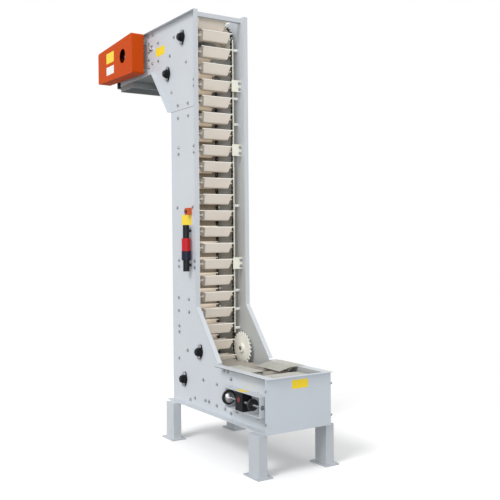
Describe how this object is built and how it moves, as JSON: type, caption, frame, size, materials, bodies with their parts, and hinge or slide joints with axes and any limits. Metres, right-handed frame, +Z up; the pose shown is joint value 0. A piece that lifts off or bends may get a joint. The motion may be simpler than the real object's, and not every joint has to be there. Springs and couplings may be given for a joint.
{
  "type": "z-type bucket elevator",
  "caption": "Upright bucket conveyor with a level infeed hopper, a lifting tower, a level discharge arm and a side-mounted covered chain drive.",
  "frame": {"origin": "middle of the whole machine's footprint at floor level", "axes": "+X along the machine towards the infeed hopper, +Y towards the side without the drive, +Z up"},
  "size_m": [3.145, 0.836, 3.988],
  "materials": {
    "sheet": "pale grey paint",
    "plate": "pale grey paint",
    "dark_sheet": "grey paint",
    "steel": "satin",
    "chute": "worn satin",
    "leg": "white grey paint",
    "guide": "cream plastic",
    "bearing": "black paint",
    "gearbox": "dark grey paint",
    "cover": "orange paint",
    "connector": "black plastic",
    "button": "red plastic",
    "wheel": "cream plastic",
    "chain": "dark oiled",
    "shaft": "bright",
    "bucket": "cream plastic",
    "knob": "satin"
  },
  "bodies": {
    "root": {"near_side_sheet": "sheet", "far_side_sheet": "sheet", "near_head_sheet": "sheet", "far_head_sheet": "sheet", "tower_back_sheet": "sheet", "head_underside_sheet": "dark_sheet", "head_end_sheet": "sheet", "outlet_chute": "steel", "boot_floor": "sheet", "hopper_front_plate": "plate", "hopper_chute_plates": "chute", "chain_hood": "chute", "cross_tie": "sheet", "rear_legs": "leg", "front_legs": "leg", "bucket_guides": "guide", "guide_brackets": "guide", "spacer_tubes": "guide", "chain_rails": "guide", "corner_shoes": "guide", "flange_bearings": "bearing", "takeup_frames": "sheet", "gearmotor": "gearbox", "drive_cover": "cover", "safety_switch": "connector", "takeup_blocks": "bearing", "takeup_screws": "knob"},
    "button": {"switch_button": "button"},
    "head_set": {"head_shaft": "shaft", "head_wheels": "wheel", "head_chain": "chain", "drive_wheel": "steel"},
    "motor_set": {"motor_wheel": "steel"},
    "lift_strand": {"lift_chain": "chain", "lift_buckets": "bucket"},
    "top_strand": {"top_chain": "chain", "top_buckets": "bucket"},
    "top_return_strand": {"top_return_chain": "chain", "top_return_buckets": "bucket"},
    "down_strand": {"down_chain": "chain", "down_buckets": "bucket"},
    "bottom_return_strand": {"bottom_return_chain": "chain", "bottom_return_buckets": "bucket"},
    "bottom_strand": {"bottom_chain": "chain", "bottom_buckets": "bucket"},
    "upper_front_set": {"upper_front_wheels": "wheel"},
    "upper_back_set": {"upper_back_wheels": "wheel"},
    "lower_front_set": {"lower_front_wheels": "wheel"},
    "lower_back_set": {"lower_back_wheels": "wheel"},
    "tail_set": {"tail_shaft": "shaft", "tail_wheels": "wheel", "tail_chain": "chain"},
    "upper_front_bucket_swing": {"upper_front_bucket": "bucket"},
    "upper_back_bucket_swing": {"upper_back_bucket": "bucket"},
    "lower_front_bucket_swing": {"lower_front_bucket": "bucket"},
    "lower_back_bucket_swing": {"lower_back_bucket": "bucket"},
    "head_first_bucket_swing": {"head_first_bucket": "bucket"},
    "head_second_bucket_swing": {"head_second_bucket": "bucket"},
    "tail_first_bucket_swing": {"tail_first_bucket": "bucket"},
    "tail_second_bucket_swing": {"tail_second_bucket": "bucket"}
  },
  "joints": [
    {"name": "head_turn", "type": "hinge", "parent": "root", "child": "head_set", "pos_m": [-0.91725, 0.012, 3.7937], "axis": [0, -1, 0], "range_deg": [-7.5, 7.5]},
    {"name": "motor_turn", "type": "hinge", "parent": "root", "child": "motor_set", "pos_m": [-1.4675, 0.012, 3.7937], "axis": [0, -1, 0], "range_deg": [-15.1, 15.1]},
    {"name": "top_travel", "type": "slide", "parent": "root", "child": "top_strand", "axis": [-1, 0, 0], "range_m": [-0.0192, 0.0192]},
    {"name": "lift_travel", "type": "slide", "parent": "root", "child": "lift_strand", "axis": [0, 0, 1], "range_m": [-0.0192, 0.0192]},
    {"name": "bottom_travel", "type": "slide", "parent": "root", "child": "bottom_strand", "axis": [-1, 0, 0], "range_m": [-0.0192, 0.0192]},
    {"name": "top_return_travel", "type": "slide", "parent": "root", "child": "top_return_strand", "axis": [1, 0, 0], "range_m": [-0.0192, 0.0192]},
    {"name": "down_travel", "type": "slide", "parent": "root", "child": "down_strand", "axis": [0, 0, -1], "range_m": [-0.0192, 0.0192]},
    {"name": "bottom_return_travel", "type": "slide", "parent": "root", "child": "bottom_return_strand", "axis": [1, 0, 0], "range_m": [-0.0192, 0.0192]},
    {"name": "upper_front_turn", "type": "hinge", "parent": "root", "child": "upper_front_set", "pos_m": [0.07335, 0.012, 3.7937], "axis": [0, -1, 0], "range_deg": [-7.6, 7.6]},
    {"name": "upper_back_turn", "type": "hinge", "parent": "root", "child": "upper_back_set", "pos_m": [-0.23145, 0.012, 3.50181], "axis": [0, 1, 0], "range_deg": [-7.6, 7.6]},
    {"name": "lower_front_turn", "type": "hinge", "parent": "root", "child": "lower_front_set", "pos_m": [0.36525, 0.012, 0.86], "axis": [0, 1, 0], "range_deg": [-7.6, 7.6]},
    {"name": "lower_back_turn", "type": "hinge", "parent": "root", "child": "lower_back_set", "pos_m": [0.06045, 0.012, 0.5681], "axis": [0, -1, 0], "range_deg": [-7.6, 7.6]},
    {"name": "tail_turn", "type": "hinge", "parent": "root", "child": "tail_set", "pos_m": [1.16535, 0.012, 0.5681], "axis": [0, -1, 0], "range_deg": [-7.6, 7.6]},
    {"name": "upper_front_bucket_swing", "type": "hinge", "parent": "upper_front_set", "child": "upper_front_bucket_swing", "pos_m": [0.14633, 0.012, 3.92009], "axis": [0, -1, 0], "range_deg": [-7.6, 7.6]},
    {"name": "upper_back_bucket_swing", "type": "hinge", "parent": "upper_back_set", "child": "upper_back_bucket_swing", "pos_m": [-0.15847, 0.012, 3.6282], "axis": [0, 1, 0], "range_deg": [-7.6, 7.6]},
    {"name": "lower_front_bucket_swing", "type": "hinge", "parent": "lower_front_set", "child": "lower_front_bucket_swing", "pos_m": [0.26205, 0.012, 0.7568], "axis": [0, 1, 0], "range_deg": [-7.6, 7.6]},
    {"name": "lower_back_bucket_swing", "type": "hinge", "parent": "lower_back_set", "child": "lower_back_bucket_swing", "pos_m": [-0.04275, 0.012, 0.4649], "axis": [0, -1, 0], "range_deg": [-7.6, 7.6]},
    {"name": "head_first_bucket_swing", "type": "hinge", "parent": "head_set", "child": "head_first_bucket_swing", "pos_m": [-1.04364, 0.012, 3.86667], "axis": [0, -1, 0], "range_deg": [-7.6, 7.6]},
    {"name": "head_second_bucket_swing", "type": "hinge", "parent": "head_set", "child": "head_second_bucket_swing", "pos_m": [-1.04364, 0.012, 3.72073], "axis": [0, -1, 0], "range_deg": [-7.6, 7.6]},
    {"name": "tail_first_bucket_swing", "type": "hinge", "parent": "tail_set", "child": "tail_first_bucket_swing", "pos_m": [1.29174, 0.012, 0.49513], "axis": [0, -1, 0], "range_deg": [-7.6, 7.6]},
    {"name": "tail_second_bucket_swing", "type": "hinge", "parent": "tail_set", "child": "tail_second_bucket_swing", "pos_m": [1.29174, 0.012, 0.64108], "axis": [0, -1, 0], "range_deg": [-7.6, 7.6]},
    {"name": "button_press", "type": "slide", "parent": "root", "child": "button", "axis": [0, 1, 0], "range_m": [0, 0.004], "stiffness_N_per_m": 400}
  ],
  "couplings": [
    {"joint": "motor_turn", "follows": "head_turn", "ratio": 2},
    {"joint": "top_travel", "follows": "head_turn", "m_per_rad": 0.14595},
    {"joint": "lift_travel", "follows": "head_turn", "m_per_rad": 0.14595},
    {"joint": "bottom_travel", "follows": "head_turn", "m_per_rad": 0.14595},
    {"joint": "top_return_travel", "follows": "head_turn", "m_per_rad": 0.14595},
    {"joint": "down_travel", "follows": "head_turn", "m_per_rad": 0.14595},
    {"joint": "bottom_return_travel", "follows": "head_turn", "m_per_rad": 0.14595},
    {"joint": "upper_front_turn", "follows": "head_turn", "ratio": 1},
    {"joint": "upper_back_turn", "follows": "head_turn", "ratio": 1},
    {"joint": "lower_front_turn", "follows": "head_turn", "ratio": 1},
    {"joint": "lower_back_turn", "follows": "head_turn", "ratio": 1},
    {"joint": "tail_turn", "follows": "head_turn", "ratio": 1},
    {"joint": "upper_front_bucket_swing", "follows": "head_turn", "ratio": -1},
    {"joint": "upper_back_bucket_swing", "follows": "head_turn", "ratio": -1},
    {"joint": "lower_front_bucket_swing", "follows": "head_turn", "ratio": -1},
    {"joint": "lower_back_bucket_swing", "follows": "head_turn", "ratio": -1},
    {"joint": "head_first_bucket_swing", "follows": "head_turn", "ratio": -1},
    {"joint": "head_second_bucket_swing", "follows": "head_turn", "ratio": -1},
    {"joint": "tail_first_bucket_swing", "follows": "head_turn", "ratio": -1},
    {"joint": "tail_second_bucket_swing", "follows": "head_turn", "ratio": -1}
  ]
}
